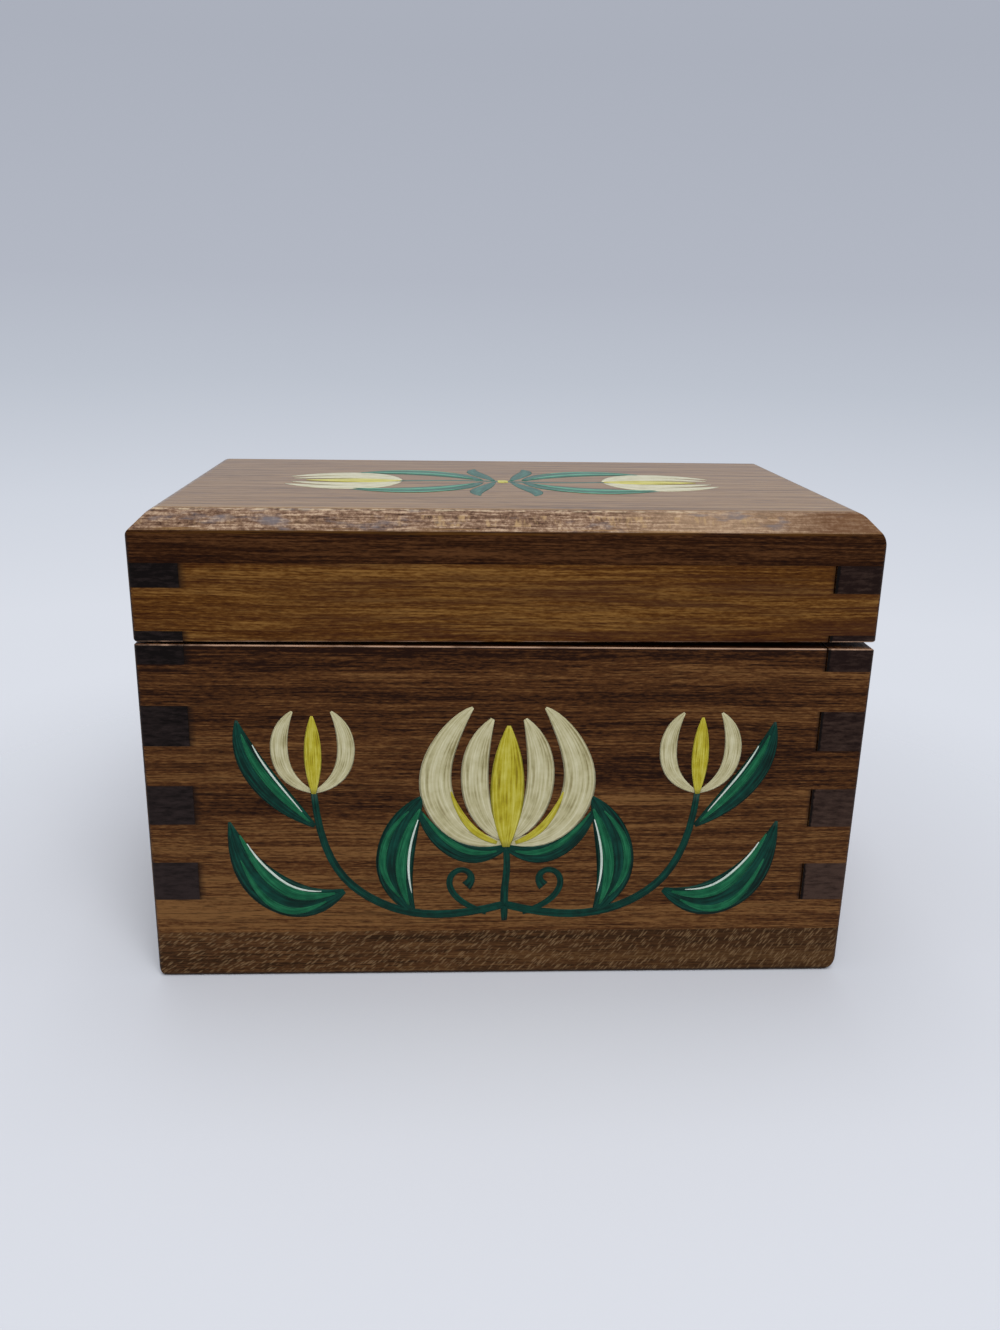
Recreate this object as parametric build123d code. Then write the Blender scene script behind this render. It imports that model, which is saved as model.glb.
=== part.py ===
"""Wooden card box with finger-jointed corners and a hinged lid.

The box is glued up closed, from four walls, a bottom board and a top board. Its lid is then sawn off
through the walls and hung again on two small brass butt hinges at the back.

Millimetres. X runs along the front, Y from the front to the back and Z up. The origin is the middle of
the underside, without the hinges, and the lid is shut.
"""

from build123d import *
import math
import os

# Box
outer_width = 152.4
outer_depth = 89.0
wall = 10.0
bottom_thickness = 11.0
top_thickness = 10.3
base_wall_height = 65.75
lid_wall_height = 16.2
saw_kerf = 2.35
rim_gap = 0.9

# The lid hangs a little crooked, higher at the right, so the gap opens from the left to the right. Degrees.
lid_tilt = 0.36

# Finger joints, measured up from the foot of the walls, before the lid is sawn off
first_finger_left = 8.1
first_finger_right = 7.3
finger_height = 8.9
shoulder_gap_left = 0.05
shoulder_gap_right = 0.35

# Sanded and shaped edges
upright_radius = 1.2
foot_radius = 1.1
rim_radius = 0.4
inner_rim_radius = 0.3
bevel_run = 4.6
bevel_rise = 3.7
bevel_foot_radius = 0.8
bevel_top_radius = 3.5
sanding_margin = 0.02

# The two ends are sanded more than the front and back, and not alike
end_foot_radius_left = 2.8
end_foot_radius_right = 4.3
base_rim_radius_left = 0.7
base_rim_radius_right = 1.1
lid_rim_radius_left = 1.1
end_bevel_rise_left = 4.6
end_bevel_rise_right = 5.3
end_bevel_radius_left = 2.4
end_bevel_radius_right = 6.5

# Hinges
hinge_spacing = 92.0
hinge_length = 25.0
knuckle_count = 5
leaf_thickness = 0.8
leaf_width = 9.4
leaf_corner_radius = 0.6
pin_diameter = 1.8
pin_end_rounding = 0.3
pin_clearance = 0.05
knuckle_clearance = 0.15
leaf_parting = 0.2
barrel_standoff = 0.15
recess_clearance = 0.1

# Hinge screws
screw_spacing = 14.0
screw_setback = 4.2
screw_shank_diameter = 1.6
screw_head_diameter = 3.2
screw_length = 9.5
screw_point_length = 2.0
screw_tip_diameter = 0.3
screw_slot_width = 0.5
screw_slot_depth = 0.4
screw_hole_clearance = 0.05
screw_slot_turns = (25.0, 110.0)

# Heights and places that follow. Those of the lid are as it is before it is tilted.
foot_level = bottom_thickness
base_rim = foot_level + base_wall_height
lid_rim = base_rim + rim_gap
lid_wall_top = lid_rim + lid_wall_height
lid_top = lid_wall_top + top_thickness
bevel_foot = lid_top - bevel_rise
sawn_blank = base_wall_height + saw_kerf
front_face = -outer_depth / 2
back_face = outer_depth / 2
left_face = -outer_width / 2
right_face = outer_width / 2
bore_radius = pin_diameter / 2 + pin_clearance
barrel_radius = bore_radius + leaf_thickness
pin_y = back_face + barrel_standoff + barrel_radius
pin_z = base_rim + rim_gap / 2
leaf_inner = leaf_parting / 2
leaf_outer = leaf_inner + leaf_thickness
screw_head_height = (screw_head_diameter - screw_shank_diameter) / 2
screw_line = back_face - screw_setback - pin_y
screw_offsets = (-screw_spacing / 2, screw_spacing / 2)
hinge_places = {"left": -hinge_spacing / 2, "right": hinge_spacing / 2}


def block(x_low, x_high, y_low, y_high, z_low, z_high):
    """A plain block between two corners."""
    size = (x_high - x_low, y_high - y_low, z_high - z_low)
    return Pos(x_low, y_low, z_low) * Box(*size, align=(Align.MIN, Align.MIN, Align.MIN))


# Forms of the two halves, with their sanded edges. Every board is trimmed to the form of its half.


def sanded_outline(plane, reach, corners):
    """A bar that reaches both ways from a plane. Its outline there runs through the corners, each given
    with the radius that it is sanded to. It stands a little outside the flat faces, and so cuts the edges
    alone."""
    outline = plane * Polygon(*[(across, up) for across, up, radius in corners], align=None)
    outline = offset(outline, sanding_margin, kind=Kind.INTERSECTION)
    for across, up, radius in corners:
        corner = plane.from_local_coords((across, up, 0))
        outline = fillet(outline.vertices().sort_by_distance(corner)[0], radius)
    return extrude(outline, amount=reach, both=True)


def rim_face(form, level):
    """The face of a form that lies at the level of its rim."""
    faces = form.faces().filter_by(Axis.Z)
    return faces.sort_by(lambda face: abs(face.center().Z - level))[0]


def hollowed(form, rim, low, high):
    """Takes out the space inside the four walls, and eases both edges of the rim, the inner one less."""
    form = fillet(rim_face(form, rim).edges(), rim_radius)
    form -= block(left_face + wall, right_face - wall, front_face + wall, back_face - wall, low, high)
    return fillet(rim_face(form, rim).inner_wires()[0].edges(), inner_rim_radius)


def base_form():
    form = block(left_face, right_face, front_face, back_face, 0, base_rim)
    form = fillet(form.edges().filter_by(Axis.Z), upright_radius)
    form = fillet(form.faces().sort_by(Axis.Z)[0].edges(), foot_radius)
    form = hollowed(form, base_rim, foot_level, base_rim)
    ends = [
        (left_face, 0, end_foot_radius_left),
        (right_face, 0, end_foot_radius_right),
        (right_face, base_rim, base_rim_radius_right),
        (left_face, base_rim, base_rim_radius_left),
    ]
    return form & sanded_outline(Plane.XZ, outer_depth, ends)


def lid_form():
    """The top edge is beveled all round, with mitred corners, before the edges are softened."""
    form = block(left_face, right_face, front_face, back_face, lid_rim, lid_top)
    form = fillet(form.edges().filter_by(Axis.Z), upright_radius)
    form = hollowed(form, lid_rim, lid_rim, lid_wall_top)
    ends = [
        (left_face, lid_rim, lid_rim_radius_left),
        (right_face, lid_rim, rim_radius),
        (right_face, lid_top - end_bevel_rise_right, end_bevel_radius_right),
        (right_face - bevel_run, lid_top, bevel_top_radius),
        (left_face + bevel_run, lid_top, bevel_top_radius),
        (left_face, lid_top - end_bevel_rise_left, end_bevel_radius_left),
    ]
    sides = [
        (front_face, lid_rim, rim_radius),
        (back_face, lid_rim, rim_radius),
        (back_face, bevel_foot, bevel_foot_radius),
        (back_face - bevel_run, lid_top, bevel_top_radius),
        (front_face + bevel_run, lid_top, bevel_top_radius),
        (front_face, bevel_foot, bevel_foot_radius),
    ]
    form &= sanded_outline(Plane.XZ, outer_depth, ends)
    return form & sanded_outline(Plane.YZ, outer_width, sides)


def hung(board):
    """A board of the lid, turned about the middle of the rim to lie as the lid hangs."""
    return Pos(0, 0, lid_rim) * Rot(0, -lid_tilt, 0) * Pos(0, 0, -lid_rim) * board


# Walls


def finger_spans(low, high, first_finger, on_front):
    """Spans of the blank's height, from low to high, where the front and back boards run through to the
    corner, or else where the side boards do."""
    spans = []
    edge = first_finger
    start = 0.0
    front_owns = True
    while start < high:
        if front_owns == on_front and edge > low:
            spans.append((max(start, low), min(edge, high)))
        start = edge
        edge += finger_height
        front_owns = not front_owns
    return spans


def long_wall(y_low, blank_low, blank_high, level):
    """The front or back board of one half, with open sockets at its ends for the side boards."""
    y_high = y_low + wall
    board = block(left_face, right_face, y_low, y_high, level, level + blank_high - blank_low)
    left_end = (left_face, left_face + wall + shoulder_gap_left, first_finger_left)
    right_end = (right_face - wall - shoulder_gap_right, right_face, first_finger_right)
    for x_low, x_high, first_finger in (left_end, right_end):
        for low, high in finger_spans(blank_low, blank_high, first_finger, on_front=False):
            z_low = level + low - blank_low
            z_high = level + high - blank_low
            board -= block(x_low, x_high, y_low, y_high, z_low, z_high)
    return board


def side_wall(x_low, first_finger, blank_low, blank_high, level):
    """A side board of one half, with open sockets at its ends for the front and back boards."""
    x_high = x_low + wall
    board = block(x_low, x_high, front_face, back_face, level, level + blank_high - blank_low)
    for low, high in finger_spans(blank_low, blank_high, first_finger, on_front=True):
        z_low = level + low - blank_low
        z_high = level + high - blank_low
        board -= block(x_low, x_high, front_face, front_face + wall, z_low, z_high)
        board -= block(x_low, x_high, back_face - wall, back_face, z_low, z_high)
    return board


def walls(blank_low, blank_high, level):
    """The four walls of one half, by the side that each one stands on."""
    span = (blank_low, blank_high, level)
    return {
        "front": long_wall(front_face, *span),
        "back": long_wall(back_face - wall, *span),
        "left": side_wall(left_face, first_finger_left, *span),
        "right": side_wall(right_face - wall, first_finger_right, *span),
    }


# Hinges, drawn with the pin on the X axis, the leaves reaching along -Y and the lid's leaf above


def knuckle_spans(on_base):
    """Where along the pin one leaf's knuckles are. The base's leaf has the two end knuckles."""
    pitch = hinge_length / knuckle_count
    ends = []
    for number in range(knuckle_count):
        if (number % 2 == 0) == on_base:
            low = -hinge_length / 2 + number * pitch
            high = low + pitch
            if number > 0:
                low += knuckle_clearance / 2
            if number < knuckle_count - 1:
                high -= knuckle_clearance / 2
            ends.append((low, high))
    return ends


def hinge_leaf(on_base):
    """A pressed leaf: a flat plate whose edge is rolled into knuckles round the pin."""
    side = -1 if on_base else 1
    z_low, z_high = sorted((side * leaf_inner, side * leaf_outer))
    notch_edge = -(barrel_radius + knuckle_clearance)
    half_length = hinge_length / 2
    leaf = block(-half_length, half_length, -leaf_width, notch_edge, z_low, z_high)
    far_corners = leaf.edges().filter_by(Axis.Z).group_by(Axis.Y)[0]
    leaf = fillet(far_corners, leaf_corner_radius)
    for low, high in knuckle_spans(on_base):
        turned = Pos(low, 0, 0) * Rot(0, 90, 0)
        along = (Align.CENTER, Align.CENTER, Align.MIN)
        roll = turned * Cylinder(barrel_radius, high - low, align=along)
        slit_low, slit_high = sorted((-side * leaf_inner, side * leaf_inner))
        roll -= block(low, high, -barrel_radius, 0, slit_low, slit_high)
        roll += block(low, high, notch_edge, 0, z_low, z_high)
        bore = turned * Cylinder(bore_radius, high - low, align=along)
        leaf += roll - bore
    for offset in screw_offsets:
        leaf -= Pos(offset, screw_line, side * leaf_inner) * screw_hole(side)
    return leaf


def pointing(shape, side):
    """Turns over a shape that points down where it belongs to the lid."""
    return shape if side < 0 else Rot(180, 0, 0) * shape


def screw_hole(side):
    """The countersunk hole for a screw in a leaf, with its mouth at the origin."""
    shank_radius = screw_shank_diameter / 2 + screw_hole_clearance
    head_radius = screw_head_diameter / 2 + screw_hole_clearance
    down = (Align.CENTER, Align.CENTER, Align.MAX)
    hole = Cylinder(shank_radius, leaf_thickness, align=down)
    hole += Cone(shank_radius, head_radius, screw_head_height, align=down)
    return pointing(hole, side)


def screw_blank():
    """A countersunk wood screw before it is slotted, pointing down from its head's flat face."""
    down = (Align.CENTER, Align.CENTER, Align.MAX)
    shank_radius = screw_shank_diameter / 2
    shank_length = screw_length - screw_head_height - screw_point_length
    head = Cone(shank_radius, screw_head_diameter / 2, screw_head_height, align=down)
    shank = Cylinder(shank_radius, shank_length, align=down)
    point = Cone(screw_tip_diameter / 2, shank_radius, screw_point_length, align=down)
    point_level = -screw_head_height - shank_length
    return head + Pos(0, 0, -screw_head_height) * shank + Pos(0, 0, point_level) * point


def hinge_screw(side, slot_turn):
    down = (Align.CENTER, Align.CENTER, Align.MAX)
    slot = Box(screw_head_diameter, screw_slot_width, screw_slot_depth, align=down)
    return pointing(screw_blank() - Rot(0, 0, slot_turn) * slot, side)


def hinge_pin():
    along = Rot(0, 90, 0) * Cylinder(pin_diameter / 2, hinge_length)
    return fillet(along.edges().filter_by(GeomType.CIRCLE), pin_end_rounding)


def screw_places(hinge_x, side):
    """Where the heads of one leaf's screws are on the box."""
    level = pin_z + side * leaf_inner
    return [Pos(hinge_x + offset, pin_y + screw_line, level) for offset in screw_offsets]


def let_in_hinges(board, side):
    """Cuts the shallow seats of the leaves into the rim of a back wall, and the screws' holes. The seats
    are level, also in the lid."""
    z_low, z_high = sorted((pin_z, pin_z + side * leaf_outer))
    half_seat = hinge_length / 2 + recess_clearance
    seat_edge = pin_y - leaf_width - recess_clearance
    for hinge_x in hinge_places.values():
        board -= block(hinge_x - half_seat, hinge_x + half_seat, seat_edge, back_face, z_low, z_high)
        for place in screw_places(hinge_x, side):
            board -= place * pointing(screw_blank(), side)
    return board


def hinge_screws(hinge_x, side):
    screws = []
    for place, slot_turn in zip(screw_places(hinge_x, side), screw_slot_turns):
        screws.append(place * hinge_screw(side, slot_turn))
    return Compound(screws)


# The whole box


def box_pieces():
    """Every piece by name, where it is on the closed box."""
    pieces = {}
    base_outside = base_form()
    lid_outside = lid_form()
    footprint = (left_face, right_face, front_face, back_face)
    for name, board in walls(0.0, base_wall_height, foot_level).items():
        pieces[f"base_{name}_wall"] = board & base_outside
    for name, board in walls(sawn_blank, sawn_blank + lid_wall_height, lid_rim).items():
        pieces[f"lid_{name}_wall"] = hung(board & lid_outside)
    pieces["bottom_board"] = block(*footprint, 0, foot_level) & base_outside
    pieces["top_board"] = hung(block(*footprint, lid_wall_top, lid_top) & lid_outside)
    pieces["base_back_wall"] = let_in_hinges(pieces["base_back_wall"], -1)
    pieces["lid_back_wall"] = let_in_hinges(pieces["lid_back_wall"], 1)

    for name, hinge_x in hinge_places.items():
        pin_place = Pos(hinge_x, pin_y, pin_z)
        pieces[f"{name}_hinge_base_leaf"] = pin_place * hinge_leaf(on_base=True)
        pieces[f"{name}_hinge_lid_leaf"] = pin_place * hinge_leaf(on_base=False)
        pieces[f"{name}_hinge_pin"] = pin_place * hinge_pin()
        pieces[f"{name}_hinge_base_screws"] = hinge_screws(hinge_x, -1)
        pieces[f"{name}_hinge_lid_screws"] = hinge_screws(hinge_x, 1)
    return pieces


os.makedirs("parts", exist_ok=True)
for piece_name, piece in box_pieces().items():
    export_step(piece, f"parts/{piece_name}.step")
    print(piece_name, len(piece.solids()), round(piece.volume, 1))
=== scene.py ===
import math

import bpy
from mathutils import Matrix, Vector


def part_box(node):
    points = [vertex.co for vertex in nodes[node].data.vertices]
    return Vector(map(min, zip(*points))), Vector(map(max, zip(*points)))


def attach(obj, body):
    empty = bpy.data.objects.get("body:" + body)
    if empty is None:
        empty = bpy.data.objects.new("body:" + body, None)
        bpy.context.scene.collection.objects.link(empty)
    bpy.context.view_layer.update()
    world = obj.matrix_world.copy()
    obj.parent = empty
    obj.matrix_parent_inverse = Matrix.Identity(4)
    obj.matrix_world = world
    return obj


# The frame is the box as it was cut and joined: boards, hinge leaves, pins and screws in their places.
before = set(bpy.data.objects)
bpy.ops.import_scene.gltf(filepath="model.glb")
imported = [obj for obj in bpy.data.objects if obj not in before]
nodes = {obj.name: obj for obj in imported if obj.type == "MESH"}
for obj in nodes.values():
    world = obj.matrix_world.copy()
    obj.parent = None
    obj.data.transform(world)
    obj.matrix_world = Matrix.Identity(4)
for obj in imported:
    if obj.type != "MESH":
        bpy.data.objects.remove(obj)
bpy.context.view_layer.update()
mm = 0.001


# The front and back walls
# Straight-grained hardwood boards, 10 mm thick, that run the length of the box. They are cut from one
# board with the lid's, stained walnut brown, and rubbed with wax to a low sheen.


def linear(hex_colour):
    """The linear colour of an sRGB hex value."""
    channels = [int(hex_colour[i:i + 2], 16) / 255 for i in (1, 3, 5)]
    return [c / 12.92 if c <= 0.04045 else ((c + 0.055) / 1.055) ** 2.4 for c in channels] + [1.0]


def add(tree, kind, links=None, stops=None, **settings):
    """Adds a node. links gives inputs a socket or a value. stops are a ramp's places and colours."""
    node = tree.nodes.new(kind)
    for name, value in settings.items():
        setattr(node, name, value)
    for key, value in (links or {}).items():
        if isinstance(value, bpy.types.NodeSocket):
            tree.links.new(value, node.inputs[key])
        else:
            node.inputs[key].default_value = value
    if stops:
        elements = node.color_ramp.elements
        while len(elements) < len(stops):
            elements.new(1.0)
        for element, (place, colour) in zip(elements, stops):
            element.position = place
            element.color = linear(colour)
    return node


# What makes up the figure of the wood: its length along the grain and its width across it in
# millimetres, and its share of the contrast. The finest is drawn twice as coarse as real, to show.
grain_layers = {
    "growth rings": (170, 5.0, 0.85),
    "streaks": (50, 1.2, 0.55),
    "fibres": (15, 0.35, 0.95),
    "flecks": (1.6, 0.3, 0.85),
}
# Dark marks in it: their length and width in millimetres, where in the noise they start and end,
# and how dark they are
dark_marks = {
    "veins": (30, 0.45, 0.57, 0.72, 0.45),
    "pores": (5.0, 0.3, 0.57, 0.7, 0.55),
}
# Every layer and mark is so many times as thick as it is wide
thicker = 1.3
# The hollow of the closed box: each axis with where it starts and ends, in millimetres
hollow = ((0, -66.4, 66.4), (1, -34.6, 34.6), (2, 10.9, 94.3))


def stained_wood(name, along, shift, stain, end_grain, rise=0.0, worn=0.5):
    """Stained and waxed hardwood. along is the way the grain runs, X or Y, and shift moves the figure,
    so that no two boards look alike. stain gives its darkest, middle and lightest brown. rise is how
    much paler the foot of the board is than its top, and worn how much of its edges is rubbed bare."""
    material = bpy.data.materials.new(name)
    material.use_nodes = True
    tree = material.node_tree
    shader = tree.nodes["Principled BSDF"]
    place = add(tree, "ShaderNodeTexCoord")
    figure = add(tree, "ShaderNodeMapping", {
        "Vector": place.outputs["Object"],
        "Location": shift,
        "Rotation": (0, 0, 0 if along == "X" else math.radians(-90)),
        "Scale": (1 / mm,) * 3,
    })
    # The grain isn't quite straight: it wanders about 0.7 mm across over some 60 mm
    bend_length, bend_width, bend_reach = 60, 25, 2.2
    bend_size = add(tree, "ShaderNodeVectorMath", {
        0: figure.outputs[0], 1: (1 / bend_length, 1 / bend_width, 1 / bend_width),
    }, operation="MULTIPLY")
    bend = add(tree, "ShaderNodeTexNoise", {
        "Vector": bend_size.outputs[0], "Scale": 1.0, "Detail": 1.0,
    })
    bent = add(tree, "ShaderNodeVectorMath", {
        0: bend.outputs["Color"], 1: (0, bend_reach, bend_reach), 2: figure.outputs[0],
    }, operation="MULTIPLY_ADD")

    tone = None
    layers = {}
    start = 0.5 - sum(share for length, width, share in grain_layers.values()) / 2
    for layer, (length, width, share) in grain_layers.items():
        size = add(tree, "ShaderNodeVectorMath", {
            0: bent.outputs[0], 1: (1 / length, 1 / (thicker * width), 1 / width),
        }, operation="MULTIPLY")
        noise = add(tree, "ShaderNodeTexNoise", {
            "Vector": size.outputs[0], "Scale": 1.0, "Detail": 2.0, "Roughness": 0.6,
        })
        layers[layer] = noise.outputs[0]
        tone = add(tree, "ShaderNodeMath", {
            0: noise.outputs[0], 1: share, 2: tone.outputs[0] if tone else start,
        }, operation="MULTIPLY_ADD")
    spot = add(tree, "ShaderNodeSeparateXYZ", {0: place.outputs["Object"]})
    foot = add(tree, "ShaderNodeMapRange", {
        "Value": spot.outputs[2], "From Min": 75 * mm, "From Max": 15 * mm, "To Min": -rise / 2,
        "To Max": rise / 2,
    })
    tone = add(tree, "ShaderNodeMath", {0: tone.outputs[0], 1: foot.outputs[0]}, operation="ADD")
    dark, middle, light = stain
    colour = add(tree, "ShaderNodeValToRGB", {
        "Fac": tone.outputs[0],
    }, stops=[(0.2, dark), (0.5, middle), (0.8, light)])
    plain = colour.outputs[0]
    for length, width, start, end, share in dark_marks.values():
        size = add(tree, "ShaderNodeVectorMath", {
            0: bent.outputs[0], 1: (1 / length, 1 / (thicker * width), 1 / width),
        }, operation="MULTIPLY")
        noise = add(tree, "ShaderNodeTexNoise", {
            "Vector": size.outputs[0], "Scale": 1.0, "Detail": 1.0,
        })
        mark = add(tree, "ShaderNodeMapRange", {
            "Value": noise.outputs[0], "From Min": start, "From Max": end, "To Max": share,
        })
        colour = add(tree, "ShaderNodeMix", {
            0: mark.outputs[0], 6: plain, 7: linear(dark),
        }, data_type="RGBA")
        plain = colour.outputs[2]

    # Inside the box the stain is thinner and was never waxed
    within = None
    for axis, low, high in hollow:
        inside = add(tree, "ShaderNodeMath", {
            0: spot.outputs[axis], 1: (low + high) / 2 * mm, 2: (high - low) / 2 * mm,
        }, operation="COMPARE")
        within = add(tree, "ShaderNodeMath", {
            0: inside.outputs[0], 1: within.outputs[0] if within else 1.0,
        }, operation="MULTIPLY")
    thin = add(tree, "ShaderNodeMath", {0: within.outputs[0], 1: 0.4}, operation="MULTIPLY")
    colour = add(tree, "ShaderNodeMix", {
        0: thin.outputs[0], 6: colour.outputs[2], 7: linear("#7b5a3c"),
    }, data_type="RGBA")

    # End grain drinks more stain, so a surface that faces along the grain is far darker
    facing = add(tree, "ShaderNodeSeparateXYZ", {0: place.outputs["Normal"]})
    ends = add(tree, "ShaderNodeMath", {0: facing.outputs[along]}, operation="ABSOLUTE")
    ends = add(tree, "ShaderNodeMapRange", {"Value": ends.outputs[0], "From Min": 0.5, "From Max": 0.8})
    # Its rings are some 9 mm by 3 mm, and its pores 0.7 mm
    end_size = add(tree, "ShaderNodeVectorMath", {
        0: figure.outputs[0], 1: (1 / 9, 1 / 3, 1 / 0.7),
    }, operation="MULTIPLY")
    end_rings = add(tree, "ShaderNodeTexNoise", {
        "Vector": end_size.outputs[0], "Scale": 1.0, "Detail": 3.0, "Roughness": 0.65,
    })
    end_tone = add(tree, "ShaderNodeMath", {
        0: foot.outputs[0], 1: 2.2, 2: end_rings.outputs[0],
    }, operation="MULTIPLY_ADD")
    end_colour = add(tree, "ShaderNodeValToRGB", {
        "Fac": end_tone.outputs[0],
    }, stops=[(0.3, end_grain[0]), (0.7, end_grain[1])])
    colour = add(tree, "ShaderNodeMix", {
        0: ends.outputs[0], 6: colour.outputs[2], 7: end_colour.outputs[0],
    }, data_type="RGBA")

    # The level edges of the sawn rims are rubbed bare in stretches. Only an edge's rounding faces
    # partly up or down and partly out
    upright = add(tree, "ShaderNodeMath", {0: facing.outputs[2]}, operation="ABSOLUTE")
    slant = add(tree, "ShaderNodeMapRange", {
        "Value": upright.outputs[0], "From Min": 0.15, "From Max": 0.4,
    })
    level = add(tree, "ShaderNodeMapRange", {
        "Value": upright.outputs[0], "From Min": 0.97, "From Max": 0.85,
    })
    rub_size = add(tree, "ShaderNodeVectorMath", {
        0: figure.outputs[0], 1: (1 / 9, 1 / 4, 1 / 4),
    }, operation="MULTIPLY")
    rub = add(tree, "ShaderNodeTexNoise", {
        "Vector": rub_size.outputs[0], "Scale": 1.0, "Detail": 3.0, "Roughness": 0.6,
    })
    bare = add(tree, "ShaderNodeMapRange", {
        "Value": rub.outputs[0], "From Min": 0.75 - worn / 2, "From Max": 1.05 - worn / 2,
        "To Max": 0.9,
    })
    for mask in (slant, level):
        bare = add(tree, "ShaderNodeMath", {
            0: bare.outputs[0], 1: mask.outputs[0],
        }, operation="MULTIPLY")
    colour = add(tree, "ShaderNodeMix", {
        0: bare.outputs[0], 6: colour.outputs[2], 7: linear("#b8957c"),
    }, data_type="RGBA")
    tree.links.new(colour.outputs[2], shader.inputs["Base Color"])

    sheen = add(tree, "ShaderNodeMapRange", {
        "Value": layers["fibres"], "From Min": 0.3, "From Max": 0.7, "To Min": 0.34, "To Max": 0.46,
    })
    rough = add(tree, "ShaderNodeMath", {
        0: within.outputs[0], 1: 0.25, 2: sheen.outputs[0],
    }, operation="MULTIPLY_ADD")
    tree.links.new(rough.outputs[0], shader.inputs["Roughness"])
    shader.inputs["Specular IOR Level"].default_value = 0.06
    relief = add(tree, "ShaderNodeMath", {
        0: mark.outputs[0], 1: -0.8, 2: layers["fibres"],
    }, operation="MULTIPLY_ADD")
    bump = add(tree, "ShaderNodeBump", {
        "Height": relief.outputs[0], "Strength": 0.5, "Distance": 0.04 * mm,
    })
    tree.links.new(bump.outputs[0], shader.inputs["Normal"])
    return material


def opened(material):
    """A wood's node tree, shader and coordinates, and its colour so far, to add to it."""
    tree = material.node_tree
    shader = tree.nodes["Principled BSDF"]
    place = next(node for node in tree.nodes if node.type == "TEX_COORD")
    return tree, shader, place, shader.inputs["Base Color"].links[0].from_socket


def give(material, *names):
    """Gives CAD nodes a finish."""
    for name in names:
        for held in nodes[name].material_slots:
            held.material = material


long_ends = ("#1e120c", "#3d2a1f")
base_stain = ("#200e06", "#513118", "#77532f")
lid_stain = ("#361804", "#5d3914", "#845e2e")
base_front = stained_wood("stained_wood_base_front", "X", (13, 4, 31), base_stain, long_ends, 0.3, 1.0)
give(base_front, "base_front_wall")
base_back = stained_wood("stained_wood_base_back", "X", (210, 60, 8), base_stain, long_ends, 0.1)
give(base_back, "base_back_wall")
lid_front = stained_wood("stained_wood_lid_front", "X", (95, 9, 143), lid_stain, long_ends, worn=0.7)
give(lid_front, "lid_front_wall")
lid_back = stained_wood("stained_wood_lid_back", "X", (320, 75, 201), lid_stain, long_ends)
give(lid_back, "lid_back_wall")


# How high each finger is, and how far from the middle of the box the fingers start, in millimetres
finger_height = 8.9
shoulder = 66.3


def bleed_stain(material, left_start, right_start):
    """Darkens a board beside the fingers let into its ends, where the brush pushed stain into the
    joint. The starts are how high the lowest finger's foot is at each end, in millimetres, or for the
    lid, whose fingers go on from the base's, how high it would be."""
    tree, shader, place, stained = opened(material)
    spot = add(tree, "ShaderNodeSeparateXYZ", {0: place.outputs["Object"]})
    ragged_size = add(tree, "ShaderNodeMapping", {
        "Vector": place.outputs["Object"], "Scale": (1 / (0.8 * mm),) * 3,
    })
    ragged = add(tree, "ShaderNodeTexNoise", {
        "Vector": ragged_size.outputs[0], "Scale": 1.0, "Detail": 2.0,
    })
    # It reaches about 1.4 mm into the wood at the left and 0.9 mm at the right
    reach = add(tree, "ShaderNodeMapRange", {
        "Value": spot.outputs[0], "From Min": -mm, "From Max": mm, "To Min": 1.4 * mm,
        "To Max": 0.9 * mm,
    })
    near = add(tree, "ShaderNodeMath", {0: spot.outputs[0]}, operation="ABSOLUTE")
    near = add(tree, "ShaderNodeMath", {
        0: ragged.outputs[0], 1: 0.5 * mm, 2: near.outputs[0],
    }, operation="MULTIPLY_ADD")
    near = add(tree, "ShaderNodeMath", {0: near.outputs[0], 1: shoulder * mm}, operation="SUBTRACT")
    near = add(tree, "ShaderNodeMath", {0: near.outputs[0], 1: reach.outputs[0]}, operation="DIVIDE")
    bled = add(tree, "ShaderNodeMapRange", {
        "Value": near.outputs[0], "From Min": -1.0, "From Max": 0.1, "To Max": 0.85,
    })
    # Fingers and gaps are equally high, so they repeat every second height
    start = add(tree, "ShaderNodeMapRange", {
        "Value": spot.outputs[0], "From Min": -mm, "From Max": mm, "To Min": left_start * mm,
        "To Max": right_start * mm,
    })
    step = add(tree, "ShaderNodeMath", {0: spot.outputs[2], 1: start.outputs[0]}, operation="SUBTRACT")
    step = add(tree, "ShaderNodeMath", {
        0: step.outputs[0], 1: 2 * finger_height * mm,
    }, operation="DIVIDE")
    step = add(tree, "ShaderNodeMath", {0: step.outputs[0]}, operation="FRACT")
    beside = add(tree, "ShaderNodeMath", {0: step.outputs[0], 1: 0.25, 2: 0.25}, operation="COMPARE")
    bled = add(tree, "ShaderNodeMath", {0: bled.outputs[0], 1: beside.outputs[0]}, operation="MULTIPLY")
    colour = add(tree, "ShaderNodeMix", {
        0: bled.outputs[0], 6: stained, 7: linear("#170e0a"),
    }, data_type="RGBA")
    tree.links.new(colour.outputs[2], shader.inputs["Base Color"])


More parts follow.
